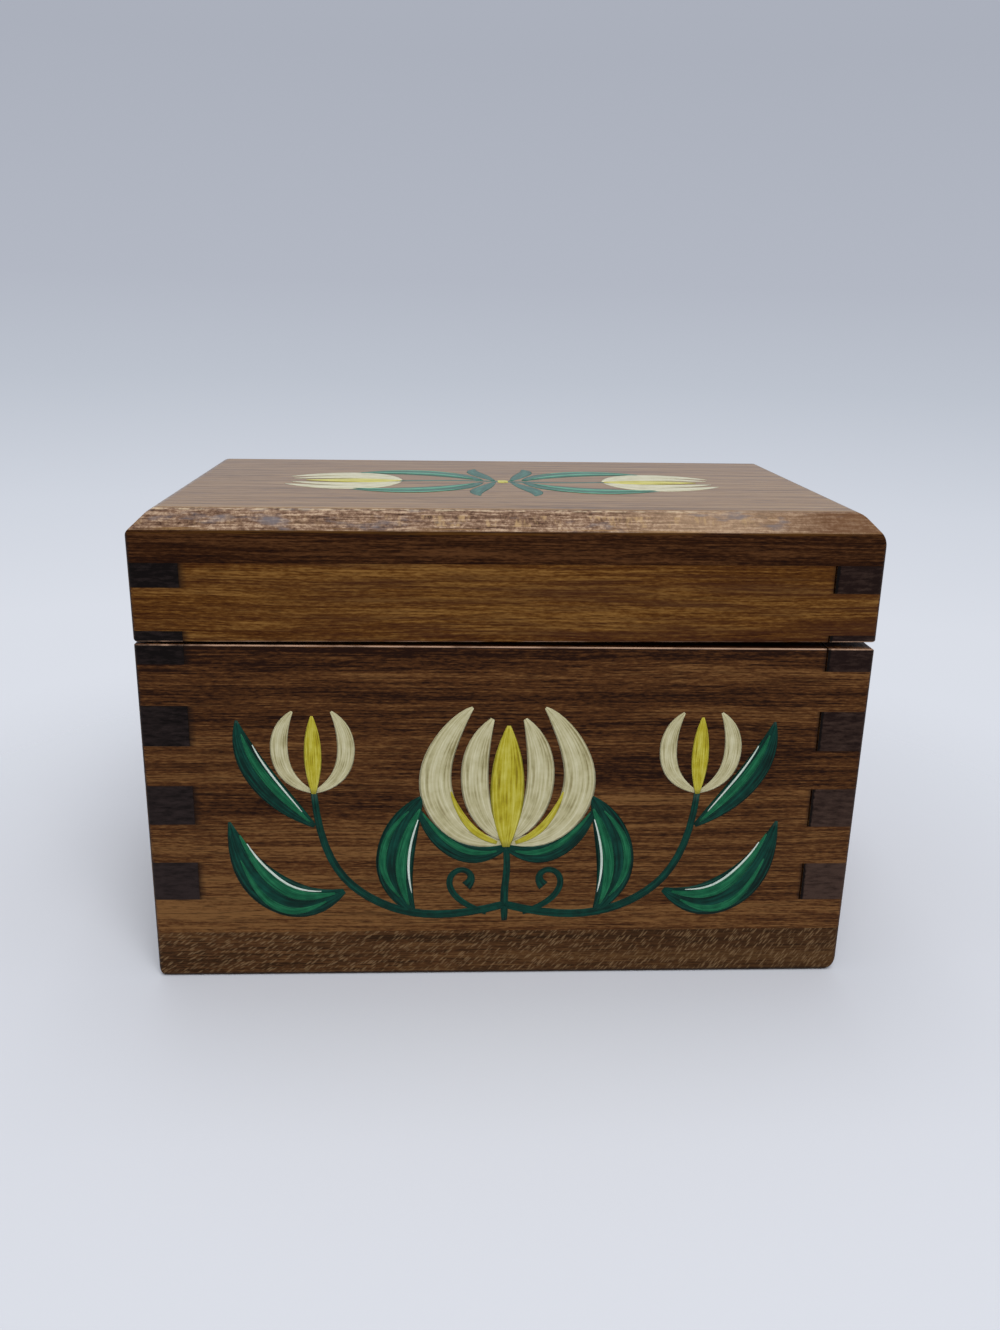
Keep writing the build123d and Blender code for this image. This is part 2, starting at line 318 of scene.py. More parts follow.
# The lid's front took the stain unevenly. Towards the right it has more purple-brown streaks, about
# 45 mm long and 2 mm wide
tree, shader, place, stained = opened(lid_front)
purple_size = add(tree, "ShaderNodeVectorMath", {
    0: place.outputs["Object"], 1: (1 / (45 * mm), 1 / (6 * mm), 1 / (2 * mm)),
}, operation="MULTIPLY")
purples = add(tree, "ShaderNodeTexNoise", {
    "Vector": purple_size.outputs[0], "Scale": 1.0, "Detail": 4.0, "Roughness": 0.65,
})
purple = add(tree, "ShaderNodeMapRange", {
    "Value": purples.outputs[0], "From Min": 0.42, "From Max": 0.64, "To Max": 0.75,
})
across = add(tree, "ShaderNodeSeparateXYZ", {0: place.outputs["Object"]})
rightward = add(tree, "ShaderNodeMapRange", {
    "Value": across.outputs[0], "From Min": -55 * mm, "From Max": -22 * mm, "To Min": 0.35,
})
purple = add(tree, "ShaderNodeMath", {
    0: purple.outputs[0], 1: rightward.outputs[0],
}, operation="MULTIPLY")
colour = add(tree, "ShaderNodeMix", {
    0: purple.outputs[0], 6: stained, 7: linear("#3c2013"),
}, data_type="RGBA")
tree.links.new(colour.outputs[2], shader.inputs["Base Color"])
for wall in (base_front, base_back):
    bleed_stain(wall, 19.1, 18.3)
for wall in (lid_front, lid_back):
    bleed_stain(wall, 17.23, 17.26)


# The side walls
# The short boards between them, joined to them by fingers that are glued in. Their grain runs from
# front to back, so their fingers show as near-black end grain on the front. The left-hand board took
# more stain.
left_ends = ("#0e0908", "#2c2322")
right_ends = ("#1d110e", "#42322b")
left_side = stained_wood("stained_wood_left_side", "Y", (5, 33, 71), base_stain, left_ends, 0.15, 0.7)
give(left_side, "base_left_wall", "lid_left_wall")
right_side = stained_wood(
    "stained_wood_right_side", "Y", (87, 13, 19), base_stain, right_ends, 0.15, 1.0,
)
give(right_side, "base_right_wall", "lid_right_wall")
# The right-hand joint is loose. Stain and dirt lie in it as a ragged black line on the fingers' ends
tree, shader, place, stained = opened(right_side)
spot = add(tree, "ShaderNodeSeparateXYZ", {0: place.outputs["Object"]})
ragged_size = add(tree, "ShaderNodeMapping", {
    "Vector": place.outputs["Object"], "Scale": (1 / (0.8 * mm),) * 3,
})
ragged = add(tree, "ShaderNodeTexNoise", {
    "Vector": ragged_size.outputs[0], "Scale": 1.0, "Detail": 2.0,
})
line = add(tree, "ShaderNodeMath", {
    0: ragged.outputs[0], 1: 0.8 * mm, 2: spot.outputs[0],
}, operation="MULTIPLY_ADD")
line = add(tree, "ShaderNodeMapRange", {
    "Value": line.outputs[0], "From Min": 67.3 * mm, "From Max": 67.0 * mm, "To Max": 0.95,
})
facing = add(tree, "ShaderNodeSeparateXYZ", {0: place.outputs["Normal"]})
on_end = add(tree, "ShaderNodeMath", {0: facing.outputs[1]}, operation="ABSOLUTE")
line = add(tree, "ShaderNodeMath", {0: line.outputs[0], 1: on_end.outputs[0]}, operation="MULTIPLY")
colour = add(tree, "ShaderNodeMix", {
    0: line.outputs[0], 6: stained, 7: linear("#0a0605"),
}, data_type="RGBA")
tree.links.new(colour.outputs[2], shader.inputs["Base Color"])


# The bottom board
# It is as large as the box and is glued up under the walls. Its long edges were cut across the rays of
# the wood, which show there as short pale flecks that lean over.
bottom_stain = ("#2c1b0c", "#4e321b", "#694b2c")
bottom = stained_wood("stained_wood_bottom_board", "X", (140, 5, 77), bottom_stain, long_ends, worn=0.0)
tree, shader, place, stained = opened(bottom)
# The flecks lean at 36 degrees at the left end and more steeply at the right. Each is about 2 mm
# long and 0.3 mm wide, and lies alone in a cell of the pattern
left_lean, right_lean = math.radians(36), math.radians(54)
cell_length, cell_width = 2.1, 0.43
lean = add(tree, "ShaderNodeSeparateXYZ", {0: place.outputs["Object"]})
angle = add(tree, "ShaderNodeMapRange", {
    "Value": lean.outputs[0], "From Min": -70 * mm, "From Max": 70 * mm, "To Min": left_lean,
    "To Max": right_lean,
})
turned = add(tree, "ShaderNodeVectorRotate", {
    "Vector": place.outputs["Object"], "Angle": angle.outputs[0],
}, rotation_type="Y_AXIS")
fleck_size = add(tree, "ShaderNodeVectorMath", {
    0: turned.outputs[0], 1: (1 / (cell_length * mm), 0, 1 / (cell_width * mm)),
}, operation="MULTIPLY")
flecks = add(tree, "ShaderNodeTexVoronoi", {
    "Vector": fleck_size.outputs[0], "Scale": 1.0, "Randomness": 0.8,
})
fleck = add(tree, "ShaderNodeMapRange", {
    "Value": flecks.outputs["Distance"], "From Min": 0.5, "From Max": 0.22, "To Max": 0.7,
})
# They are fainter between rows some 14 mm long and 3.5 mm apart
row_size = add(tree, "ShaderNodeVectorMath", {
    0: place.outputs["Object"], 1: (1 / (14 * mm), 0, 1 / (3.5 * mm)),
}, operation="MULTIPLY")
rows = add(tree, "ShaderNodeTexNoise", {"Vector": row_size.outputs[0], "Scale": 1.0, "Detail": 2.0})
row = add(tree, "ShaderNodeMapRange", {
    "Value": rows.outputs[0], "From Min": 0.36, "From Max": 0.52, "To Min": 0.6,
})
edge_facing = add(tree, "ShaderNodeSeparateXYZ", {0: place.outputs["Normal"]})
on_edge = add(tree, "ShaderNodeMath", {0: edge_facing.outputs[1]}, operation="ABSOLUTE")
for mask in (fleck, row):
    on_edge = add(tree, "ShaderNodeMath", {
        0: on_edge.outputs[0], 1: mask.outputs[0],
    }, operation="MULTIPLY")
# The right-hand half of the board took more stain
deeper = add(tree, "ShaderNodeMapRange", {
    "Value": lean.outputs[0], "From Min": -15 * mm, "From Max": 50 * mm, "To Max": 0.45,
})
colour = add(tree, "ShaderNodeMix", {
    0: deeper.outputs[0], 6: stained, 7: linear(bottom_stain[0]),
}, data_type="RGBA")
colour = add(tree, "ShaderNodeMix", {
    0: on_edge.outputs[0], 6: colour.outputs[2], 7: linear("#7f6547"),
}, data_type="RGBA")
# The lowest 1 mm is darkened: painted shade that stands in for the contact shadow along the foot
painted_contact_shade = add(tree, "ShaderNodeMapRange", {
    "Value": lean.outputs[2], "From Min": 1.2 * mm, "From Max": 0.6 * mm, "To Max": 0.75,
})
colour = add(tree, "ShaderNodeMix", {
    0: painted_contact_shade.outputs[0], 6: colour.outputs[2], 7: linear("#1a110b"),
}, data_type="RGBA")
tree.links.new(colour.outputs[2], shader.inputs["Base Color"])
give(bottom, "bottom_board")


# The top board
# It closes the lid and has a bevel planed round its upper edge. It has the smoothest wax of the box.
# Handling has rubbed the bevel nearly bare, with pale ticks across the grain and blue-grey wax bloom.

# It was glued on a little crooked, and is higher at the right. lid_top is its height at the middle.
lid_tilt = math.radians(0.36)
lid_top = 104.15
top_stain = ("#140401", "#321907", "#54341b")
top = stained_wood("stained_wood_top_board", "X", (31, 91, 44), top_stain, long_ends, worn=0.0)
tree, shader, place, stained = opened(top)
facing = add(tree, "ShaderNodeSeparateXYZ", {0: place.outputs["Normal"]})
figure = add(tree, "ShaderNodeMapping", {"Vector": place.outputs["Object"], "Scale": (1 / mm,) * 3})
# The flat top is coloured a paler brown, with streaks up to 1.6 mm wide and 60 mm long: painted light
# that stands in for the stronger light falling on it from above
streak_size = add(tree, "ShaderNodeVectorMath", {
    0: figure.outputs[0], 1: (1 / 60, 1 / 1.6, 1 / 1.6),
}, operation="MULTIPLY")
streaks = add(tree, "ShaderNodeTexNoise", {
    "Vector": streak_size.outputs[0], "Scale": 1.0, "Detail": 4.0, "Roughness": 0.7,
})
# Finer lines lie in them, 6 mm long and 0.45 mm wide, which is twice as wide as real
fine_size = add(tree, "ShaderNodeVectorMath", {
    0: figure.outputs[0], 1: (1 / 6, 1 / 0.45, 1 / 0.45),
}, operation="MULTIPLY")
fines = add(tree, "ShaderNodeTexNoise", {
    "Vector": fine_size.outputs[0], "Scale": 1.0, "Detail": 3.0, "Roughness": 0.7,
})
flat_tone = add(tree, "ShaderNodeMath", {
    0: fines.outputs[0], 1: 0.6, 2: -0.3,
}, operation="MULTIPLY_ADD")
flat_tone = add(tree, "ShaderNodeMath", {
    0: flat_tone.outputs[0], 1: streaks.outputs[0],
}, operation="ADD")
painted_top_light = add(tree, "ShaderNodeValToRGB", {
    "Fac": flat_tone.outputs[0],
}, stops=[(0.28, "#5b4022"), (0.5, "#8f6c40"), (0.74, "#aa8a5c")])
upward = add(tree, "ShaderNodeMapRange", {"Value": facing.outputs[2], "From Min": 0.4, "From Max": 0.6})
# Painted light: the faces that look up take the paler brown
colour = add(tree, "ShaderNodeMix", {
    0: upward.outputs[0], 6: stained, 7: painted_top_light.outputs[0],
}, data_type="RGBA")
# The bevel faces partly up. It shows the bare grain as fine level streaks, with scuffs 1 mm across
bevel = add(tree, "ShaderNodeMapRange", {
    "Value": facing.outputs[2], "From Min": 0.99, "From Max": 0.93,
})
bevel = add(tree, "ShaderNodeMath", {0: bevel.outputs[0], 1: upward.outputs[0]}, operation="MULTIPLY")
line_size = add(tree, "ShaderNodeVectorMath", {
    0: figure.outputs[0], 1: (1 / 8, 1 / 0.6, 1 / 0.45),
}, operation="MULTIPLY")
lines = add(tree, "ShaderNodeTexNoise", {
    "Vector": line_size.outputs[0], "Scale": 1.0, "Detail": 4.0, "Roughness": 0.75,
})
scuffs = add(tree, "ShaderNodeTexNoise", {
    "Vector": figure.outputs[0], "Scale": 1 / 1.1, "Detail": 4.0, "Roughness": 0.8,
})
worn_tone = add(tree, "ShaderNodeMath", {
    0: lines.outputs[0], 1: 0.68, 2: -0.09,
}, operation="MULTIPLY_ADD")
worn_tone = add(tree, "ShaderNodeMath", {
    0: scuffs.outputs[0], 1: 0.5, 2: worn_tone.outputs[0],
}, operation="MULTIPLY_ADD")
rubbed = add(tree, "ShaderNodeValToRGB", {
    "Fac": worn_tone.outputs[0],
}, stops=[(0.36, "#342015"), (0.5, "#795d4a"), (0.635, "#c0a68c")])
colour = add(tree, "ShaderNodeMix", {
    0: bevel.outputs[0], 6: colour.outputs[2], 7: rubbed.outputs[0],
}, data_type="RGBA")
# At the box's two ends the bevel cuts across the grain, which drank more stain
end_bevel = add(tree, "ShaderNodeMath", {0: facing.outputs[0]}, operation="ABSOLUTE")
end_bevel = add(tree, "ShaderNodeMapRange", {
    "Value": end_bevel.outputs[0], "From Min": 0.3, "From Max": 0.5, "To Max": 0.8,
})
end_bevel = add(tree, "ShaderNodeMath", {
    0: end_bevel.outputs[0], 1: upward.outputs[0],
}, operation="MULTIPLY")
colour = add(tree, "ShaderNodeMix", {
    0: end_bevel.outputs[0], 6: colour.outputs[2], 7: linear("#5a4132"),
}, data_type="RGBA")
# Its right-hand end kept more of its red-brown stain
spot = add(tree, "ShaderNodeSeparateXYZ", {0: place.outputs["Object"]})
red_end = add(tree, "ShaderNodeMapRange", {
    "Value": spot.outputs[0], "From Min": 46 * mm, "From Max": 66 * mm, "To Max": 0.75,
})
red_end = add(tree, "ShaderNodeMath", {
    0: red_end.outputs[0], 1: bevel.outputs[0],
}, operation="MULTIPLY")
colour = add(tree, "ShaderNodeMix", {
    0: red_end.outputs[0], 6: colour.outputs[2], 7: linear("#6a4a31"),
}, data_type="RGBA")
# Right of the middle hands have rubbed it to a pale tan
handled = add(tree, "ShaderNodeMath", {0: spot.outputs[0], 1: 40 * mm}, operation="SUBTRACT")
handled = add(tree, "ShaderNodeMath", {0: handled.outputs[0]}, operation="ABSOLUTE")
handled = add(tree, "ShaderNodeMapRange", {
    "Value": handled.outputs[0], "From Min": 24 * mm, "From Max": 5 * mm, "To Max": 0.45,
})
handled = add(tree, "ShaderNodeMath", {
    0: handled.outputs[0], 1: bevel.outputs[0],
}, operation="MULTIPLY")
colour = add(tree, "ShaderNodeMix", {
    0: handled.outputs[0], 6: colour.outputs[2], 7: linear("#b3977a"),
}, data_type="RGBA")
# Golden streaks run along its foot, within 0.6 mm above and below its arris with the upright edge
bevel_foot, gold_reach = 100.3, 0.6
level = add(tree, "ShaderNodeMath", {
    0: spot.outputs[0], 1: -math.tan(lid_tilt), 2: spot.outputs[2],
}, operation="MULTIPLY_ADD")
gold_band = add(tree, "ShaderNodeMath", {
    0: level.outputs[0], 1: bevel_foot * mm, 2: gold_reach * mm,
}, operation="COMPARE")
gold_size = add(tree, "ShaderNodeVectorMath", {
    0: figure.outputs[0], 1: (1 / 25, 1 / 0.6, 1 / 0.6),
}, operation="MULTIPLY")
golds = add(tree, "ShaderNodeTexNoise", {
    "Vector": gold_size.outputs[0], "Scale": 1.0, "Detail": 3.0, "Roughness": 0.7,
})
gold = add(tree, "ShaderNodeMapRange", {
    "Value": golds.outputs[0], "From Min": 0.47, "From Max": 0.62, "To Max": 0.65,
})
gold = add(tree, "ShaderNodeMath", {0: gold.outputs[0], 1: gold_band.outputs[0]}, operation="MULTIPLY")
gold_tone = add(tree, "ShaderNodeMix", {
    0: bevel.outputs[0], 6: linear("#5d3c14"), 7: linear("#9a7646"),
}, data_type="RGBA")
colour = add(tree, "ShaderNodeMix", {
    0: gold.outputs[0], 6: colour.outputs[2], 7: gold_tone.outputs[2],
}, data_type="RGBA")
# Groups of ticks some 2 mm wide stand on the middle of the bevel, each tick 0.5 mm wide
tick_size = add(tree, "ShaderNodeVectorMath", {
    0: figure.outputs[0], 1: (1 / 0.8, 1 / 3, 1 / 3),
}, operation="MULTIPLY")
ticks = add(tree, "ShaderNodeTexNoise", {
    "Vector": tick_size.outputs[0], "Scale": 1.0, "Detail": 2.0, "Roughness": 0.6,
})
group_size = add(tree, "ShaderNodeVectorMath", {
    0: figure.outputs[0], 1: (1 / 4.5, 1 / 6, 1 / 6),
}, operation="MULTIPLY")
groups = add(tree, "ShaderNodeTexNoise", {"Vector": group_size.outputs[0], "Scale": 1.0, "Detail": 1.0})
tick = add(tree, "ShaderNodeMath", {
    0: groups.outputs[0], 1: 1.3, 2: ticks.outputs[0],
}, operation="MULTIPLY_ADD")
tick = add(tree, "ShaderNodeMapRange", {
    "Value": tick.outputs[0], "From Min": 1.2, "From Max": 1.45, "To Max": 0.75,
})
# They leave out the foot and the top of the bevel, and most of its left-hand third and right end
tick_height, tick_reach = 102.2, 0.9
tick_start = add(tree, "ShaderNodeMapRange", {
    "Value": spot.outputs[0], "From Min": -34 * mm, "From Max": -20 * mm, "To Min": 0.25,
})
tick_end = add(tree, "ShaderNodeMapRange", {
    "Value": spot.outputs[0], "From Min": 56 * mm, "From Max": 42 * mm, "To Min": 0.1,
})
tick_band = add(tree, "ShaderNodeMath", {
    0: level.outputs[0], 1: tick_height * mm, 2: tick_reach * mm,
}, operation="COMPARE")
for mask in (bevel, tick_start, tick_end, tick_band):
    tick = add(tree, "ShaderNodeMath", {0: tick.outputs[0], 1: mask.outputs[0]}, operation="MULTIPLY")
colour = add(tree, "ShaderNodeMix", {
    0: tick.outputs[0], 6: colour.outputs[2], 7: linear("#b2946c"),
}, data_type="RGBA")
# The arris between the bevel and the flat is rubbed to a broken cream line, less so at the right end
arris = add(tree, "ShaderNodeMapRange", {"Value": facing.outputs[2], "From Min": 0.86, "From Max": 0.9})
arris_end = add(tree, "ShaderNodeMapRange", {
    "Value": facing.outputs[2], "From Min": 0.96, "From Max": 0.935,
})
break_size = add(tree, "ShaderNodeVectorMath", {
    0: figure.outputs[0], 1: (1 / 2.4, 1 / 1.2, 1 / 1.2),
}, operation="MULTIPLY")
breaks = add(tree, "ShaderNodeTexNoise", {
    "Vector": break_size.outputs[0], "Scale": 1.0, "Detail": 3.0, "Roughness": 0.7,
})
broken = add(tree, "ShaderNodeMapRange", {
    "Value": breaks.outputs[0], "From Min": 0.47, "From Max": 0.6, "To Max": 0.7,
})
cream_line = arris
for mask in (arris_end, broken, tick_end):
    cream_line = add(tree, "ShaderNodeMath", {
        0: cream_line.outputs[0], 1: mask.outputs[0],
    }, operation="MULTIPLY")
colour = add(tree, "ShaderNodeMix", {
    0: cream_line.outputs[0], 6: colour.outputs[2], 7: linear("#cdb899"),
}, data_type="RGBA")
# Bloom lies in a few patches some 10 mm long
bloom_size = add(tree, "ShaderNodeVectorMath", {
    0: figure.outputs[0], 1: (1 / 13, 1 / 5, 1 / 5),
}, operation="MULTIPLY")
blooms = add(tree, "ShaderNodeTexNoise", {
    "Vector": bloom_size.outputs[0], "Scale": 1.0, "Detail": 3.0, "Roughness": 0.7,
})
bloom = add(tree, "ShaderNodeMapRange", {
    "Value": blooms.outputs[0], "From Min": 0.57, "From Max": 0.7, "To Max": 0.75,
})
bloom = add(tree, "ShaderNodeMath", {0: bloom.outputs[0], 1: bevel.outputs[0]}, operation="MULTIPLY")
colour = add(tree, "ShaderNodeMix", {
    0: bloom.outputs[0], 6: colour.outputs[2], 7: linear("#6f6b70"),
}, data_type="RGBA")
tree.links.new(colour.outputs[2], shader.inputs["Base Color"])
# Only the flat keeps its coat of wax, which gives it a soft shine
wax_roughness = 0.22
polish = add(tree, "ShaderNodeMapRange", {
    "Value": facing.outputs[2], "From Min": 0.88, "From Max": 0.96, "To Max": 0.6,
})
tree.links.new(polish.outputs[0], shader.inputs["Coat Weight"])
shader.inputs["Coat Roughness"].default_value = wax_roughness
give(top, "top_board")


# The hinges
# Two small butt hinges pressed from 0.8 mm brass sheet, each leaf with its edge rolled into knuckles
# round the pin. They lie in shallow seats cut in the back walls' rims, and have dulled with age.


def aged_metal(name, tarnish, spot, roughness):
    """Metal with tarnish in spots of about so many millimetres. tarnish gives its dull, middle and
    bright colours, and roughness that of the bright and that of the dull."""
    material = bpy.data.materials.new(name)
    material.use_nodes = True
    tree = material.node_tree
    shader = tree.nodes["Principled BSDF"]
    place = add(tree, "ShaderNodeTexCoord")
    size = add(tree, "ShaderNodeMapping", {
        "Vector": place.outputs["Object"], "Scale": (1 / (spot * mm),) * 3,
    })
    spots = add(tree, "ShaderNodeTexNoise", {
        "Vector": size.outputs[0], "Scale": 1.0, "Detail": 4.0, "Roughness": 0.65,
    })
    colour = add(tree, "ShaderNodeValToRGB", {
        "Fac": spots.outputs[0],
    }, stops=list(zip((0.32, 0.5, 0.68), tarnish)))
    tree.links.new(colour.outputs[0], shader.inputs["Base Color"])
    rough = add(tree, "ShaderNodeMapRange", {
        "Value": spots.outputs[0], "From Min": 0.3, "From Max": 0.7, "To Min": roughness[1],
        "To Max": roughness[0],
    })
    tree.links.new(rough.outputs[0], shader.inputs["Roughness"])
    shader.inputs["Metallic"].default_value = 1.0
    # Rolling marks every 0.3 mm along the sheet, drawn twice as wide as real
    mark_size = add(tree, "ShaderNodeVectorMath", {
        0: place.outputs["Object"], 1: (1 / (8 * mm), 1 / (0.3 * mm), 1 / (0.3 * mm)),
    }, operation="MULTIPLY")
    marks = add(tree, "ShaderNodeTexNoise", {
        "Vector": mark_size.outputs[0], "Scale": 1.0, "Detail": 2.0,
    })
    bump = add(tree, "ShaderNodeBump", {
        "Height": marks.outputs[0], "Strength": 0.3, "Distance": 0.004 * mm,
    })
    tree.links.new(bump.outputs[0], shader.inputs["Normal"])
    return material


leaf_brass = aged_metal("pressed_brass_dulled", ("#7c6233", "#97783e", "#ab8a4c"), 5.0, (0.33, 0.42))
for side in ("left", "right"):
    give(leaf_brass, f"{side}_hinge_base_leaf", f"{side}_hinge_lid_leaf")


# The hinge pins
# Drawn steel wire, 1.8 mm thick, with rounded ends. Each is pushed through the knuckles of both leaves
# of its hinge, three of the base leaf's and two of the lid leaf's.
pin_steel = aged_metal("drawn_steel_wire", ("#6e6a64", "#8d8a85", "#aaa8a4"), 0.9, (0.24, 0.42))
give(pin_steel, "left_hinge_pin", "right_hinge_pin")


# The hinge screws
# Small countersunk wood screws turned from brass, brighter than the leaves, with slots cut across them.
# Two hold each leaf down in its seat.
screw_brass = aged_metal("turned_brass", ("#ab8a48", "#c9a65e", "#dcbd78"), 2.0, (0.2, 0.3))
for side in ("left", "right"):
    give(screw_brass, f"{side}_hinge_base_screws", f"{side}_hinge_lid_screws")


# The painted spray on the front
# Three tulips on scrolling stems, painted by hand with a loaded brush, each petal and leaf one stroke.
# The paint is artist's acrylic: it dries satin and keeps the marks of the bristles.


def brushed_paint(name, under, middle, ridge):
    """Artist's paint laid on by brush: thin and dark in the furrows of the bristles, and thick and pale
    on the ridges. The streaks follow each stroke, about 0.3 mm apart on a petal."""
    material = bpy.data.materials.new(name)
    material.use_nodes = True
    tree = material.node_tree
    shader = tree.nodes["Principled BSDF"]
    place = add(tree, "ShaderNodeTexCoord")
    bristles_along, bristles_round = 2.2, 26
    bristle_size = add(tree, "ShaderNodeMapping", {
        "Vector": place.outputs["UV"], "Scale": (bristles_along, bristles_round, 1),
    })
    bristles = add(tree, "ShaderNodeTexNoise", {
        "Vector": bristle_size.outputs[0], "Scale": 1.0, "Detail": 2.0, "Roughness": 0.6,
    })
    cloud_size = add(tree, "ShaderNodeMapping", {
        "Vector": place.outputs["Object"], "Scale": (1 / (2.5 * mm),) * 3,
    })
    clouds = add(tree, "ShaderNodeTexNoise", {
        "Vector": cloud_size.outputs[0], "Scale": 1.0, "Detail": 3.0, "Roughness": 0.6,
    })
    load = add(tree, "ShaderNodeMath", {
        0: clouds.outputs[0], 1: 0.35, 2: -0.175,
    }, operation="MULTIPLY_ADD")
    load = add(tree, "ShaderNodeMath", {
        0: bristles.outputs[0], 1: 1.0, 2: load.outputs[0],
    }, operation="MULTIPLY_ADD")
    colour = add(tree, "ShaderNodeValToRGB", {
        "Fac": load.outputs[0],
    }, stops=[(0.28, under), (0.46, middle), (0.72, ridge)])
    tree.links.new(colour.outputs[0], shader.inputs["Base Color"])
    shader.inputs["Roughness"].default_value = 0.38
    shader.inputs["Specular IOR Level"].default_value = 0.12
    # The lid was waxed over its paint too
    facing = add(tree, "ShaderNodeSeparateXYZ", {0: place.outputs["Normal"]})
    polish = add(tree, "ShaderNodeMapRange", {
        "Value": facing.outputs[2], "From Min": 0.88, "From Max": 0.96, "To Max": 0.3,
    })
    tree.links.new(polish.outputs[0], shader.inputs["Coat Weight"])
    shader.inputs["Coat Roughness"].default_value = wax_roughness
    bump = add(tree, "ShaderNodeBump", {
        "Height": load.outputs[0], "Strength": 0.6, "Distance": 0.1 * mm,
    })
    tree.links.new(bump.outputs[0], shader.inputs["Normal"])
    return material


def brush_stroke(path, widths, above):
    """One stroke of the brush on the sheet: a low mound of paint along a smooth path, half sunk in
    it. Path, widths and above are in millimetres. above is how far it lies on earlier strokes."""
    bpy.ops.object.select_all(action="DESELECT")
    bpy.ops.curve.primitive_nurbs_path_add()
    stroke = bpy.context.object
    spline = stroke.data.splines[0]
    spline.points.add(len(path) - len(spline.points))
    for point, (across, up), width in zip(spline.points, path, widths):
        point.co = (across * mm, up * mm, 0, 1)
        point.radius = width
    spline.order_u = 4
    spline.use_endpoint_u = True
    stroke.data.resolution_u = 5
    stroke.data.bevel_depth = 0.5 * mm
    stroke.data.bevel_resolution = 3
    stroke.data.use_fill_caps = True
    bpy.ops.object.convert(target="MESH")
    bpy.ops.object.mode_set(mode="EDIT")
    bpy.ops.mesh.select_all(action="SELECT")
    bpy.ops.mesh.remove_doubles(threshold=0.001 * mm)
    bpy.ops.transform.resize(value=(1, 1, paint_fullness))
    bpy.ops.transform.translate(value=(0, 0, above * mm))
    bpy.ops.object.mode_set(mode="OBJECT")
    return stroke


def painting(name, strokes, material, slot, body, location, tilt):
    """Lays strokes of one colour on the box as one piece. Each stroke may be mirrored too."""
    made = []
    for path, widths, above, mirrored in strokes:
        made.append(brush_stroke(path, widths, above))
        if mirrored:
            made.append(brush_stroke([(-across, up) for across, up in path], widths, above))
    bpy.ops.object.select_all(action="DESELECT")
    for stroke in made:
        stroke.select_set(True)
    bpy.context.view_layer.objects.active = made[0]
    bpy.ops.object.join()
    piece = bpy.context.object
    piece.name = name
    piece.location = location
    piece.rotation_euler = tilt
    bpy.ops.object.transform_apply(location=True, rotation=True, scale=True)
    bpy.ops.object.shade_smooth()
    piece.data.materials.clear()
    piece.data.materials.append(material)
    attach(piece, body)


# A stroke stands this share of its half width above the wood
paint_fullness = 0.022
cream = brushed_paint("brushed_paint_cream", "#8b8258", "#b8b189", "#d4cfae")
yellow = brushed_paint("brushed_paint_yellow", "#827217", "#afa327", "#ccc560")
teal = brushed_paint("brushed_paint_teal", "#01140f", "#022a22", "#0a4a3c")
green = brushed_paint("brushed_paint_green", "#043022", "#0c5236", "#2a7a52")
white = brushed_paint("brushed_paint_white", "#8aa596", "#c2d2c6", "#e6ece4")

